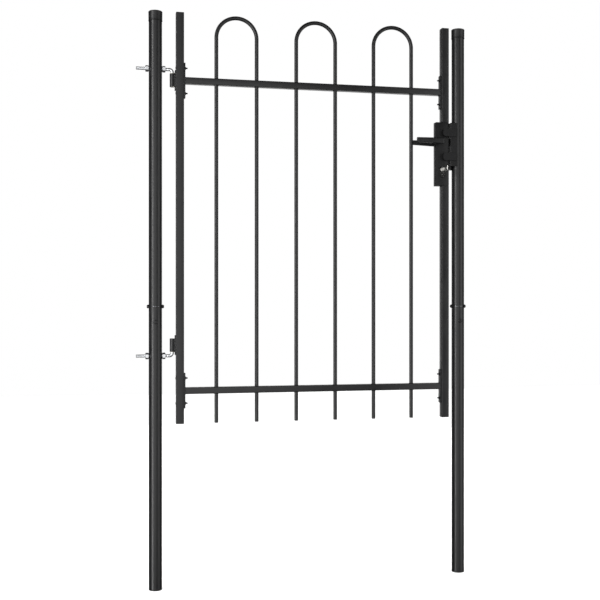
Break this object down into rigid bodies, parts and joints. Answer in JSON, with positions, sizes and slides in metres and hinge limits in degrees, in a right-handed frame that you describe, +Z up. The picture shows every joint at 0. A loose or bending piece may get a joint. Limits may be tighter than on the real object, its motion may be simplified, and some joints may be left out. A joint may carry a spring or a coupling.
{
  "type": "garden gate",
  "caption": "Single garden gate: hooped steel leaf between square stiles, hung by two eye hinges on a round post, with lever lock and keeper.",
  "frame": {"origin": "midway between the two post axes, at the cut feet of the posts", "axes": "+X along the gate from the hinge post to the latch post, +Y to the garden side that the leaf opens to, +Z up"},
  "size_m": [1.0519, 0.0992, 1.75],
  "materials": {
    "black_powder_coat": "satin black powder coat on steel",
    "black_plastic": "black moulded plastic and blackened fasteners",
    "zinc_plate": "bright zinc-plated steel",
    "nickel": "satin nickel-plated brass",
    "nylon": "natural nylon",
    "bright_steel": "bright drawn steel"
  },
  "bodies": {
    "root": {"hinge_post_lower": "black_powder_coat", "hinge_post_upper": "black_powder_coat", "hinge_post_sleeve": "bright_steel", "hinge_post_joint_bolt": "black_plastic", "hinge_post_set_screw": "black_plastic", "hinge_post_cap": "black_plastic", "latch_post_lower": "black_powder_coat", "latch_post_upper": "black_powder_coat", "latch_post_sleeve": "bright_steel", "latch_post_joint_bolt": "black_plastic", "latch_post_set_screw": "black_plastic", "latch_post_cap": "black_plastic", "top_hinge_bolt": "zinc_plate", "top_hinge_nut_outer": "zinc_plate", "top_hinge_nut_inner": "zinc_plate", "bottom_hinge_bolt": "zinc_plate", "bottom_hinge_nut_outer": "zinc_plate", "bottom_hinge_nut_inner": "zinc_plate", "keeper": "black_powder_coat", "lower_stop_pad": "black_plastic", "upper_stop_pad": "black_plastic"},
    "leaf": {"hinge_stile": "black_powder_coat", "latch_stile_lower": "black_powder_coat", "latch_stile_upper": "black_powder_coat", "hinge_stile_plug": "black_plastic", "latch_stile_plug": "black_plastic", "top_rail": "black_powder_coat", "bottom_rail": "black_powder_coat", "hoop_1": "black_powder_coat", "hoop_2": "black_powder_coat", "hoop_3": "black_powder_coat", "top_hinge_eye": "black_powder_coat", "top_hinge_bush": "nylon", "top_rail_hinge_bolt_upper": "black_plastic", "top_rail_hinge_bolt_lower": "black_plastic", "top_rail_latch_bolt_upper": "black_plastic", "top_rail_latch_bolt_lower": "black_plastic", "bottom_hinge_eye": "black_powder_coat", "bottom_hinge_bush": "nylon", "bottom_rail_hinge_bolt_upper": "black_plastic", "bottom_rail_hinge_bolt_lower": "black_plastic", "bottom_rail_latch_bolt_upper": "black_plastic", "bottom_rail_latch_bolt_lower": "black_plastic", "lock_box": "black_powder_coat", "lock_chassis": "bright_steel", "cylinder_body": "nickel", "cylinder_screw": "zinc_plate", "return_spring": "bright_steel"},
    "handle": {"front_lever": "black_powder_coat", "rear_lever": "black_powder_coat", "spindle": "bright_steel", "follower": "bright_steel"},
    "latch": {"latch_bolt": "nickel"},
    "deadbolt": {"dead_bolt": "nickel"},
    "plug": {"cylinder_plug": "nickel"},
    "key": {"key": "nickel"}
  },
  "joints": [
    {"name": "gate_swing", "type": "hinge", "parent": "root", "child": "leaf", "pos_m": [-0.4331, 0, 1.1], "axis": [0, 0, 1], "range_deg": [0, 100]},
    {"name": "lever_turn", "type": "hinge", "parent": "leaf", "child": "handle", "pos_m": [0.4193, 0, 1.3845], "axis": [0, -1, 0], "range_deg": [0, 40], "stiffness_Nm_per_rad": 1.5, "springref_deg": -20.05},
    {"name": "latch_slide", "type": "slide", "parent": "leaf", "child": "latch", "axis": [-1, 0, 0], "range_m": [0, 0.012]},
    {"name": "plug_turn", "type": "hinge", "parent": "leaf", "child": "plug", "pos_m": [0.426, 0, 1.295], "axis": [0, -1, 0], "range_deg": [0, 360]},
    {"name": "deadbolt_slide", "type": "slide", "parent": "leaf", "child": "deadbolt", "axis": [1, 0, 0], "range_m": [0, 0.012]},
    {"name": "key_pull", "type": "slide", "parent": "plug", "child": "key", "axis": [0, -1, 0], "range_m": [0, 0.03]}
  ],
  "couplings": [
    {"joint": "latch_slide", "follows": "lever_turn", "m_per_rad": 0.01718},
    {"joint": "deadbolt_slide", "follows": "plug_turn", "m_per_rad": 0.0019098}
  ]
}
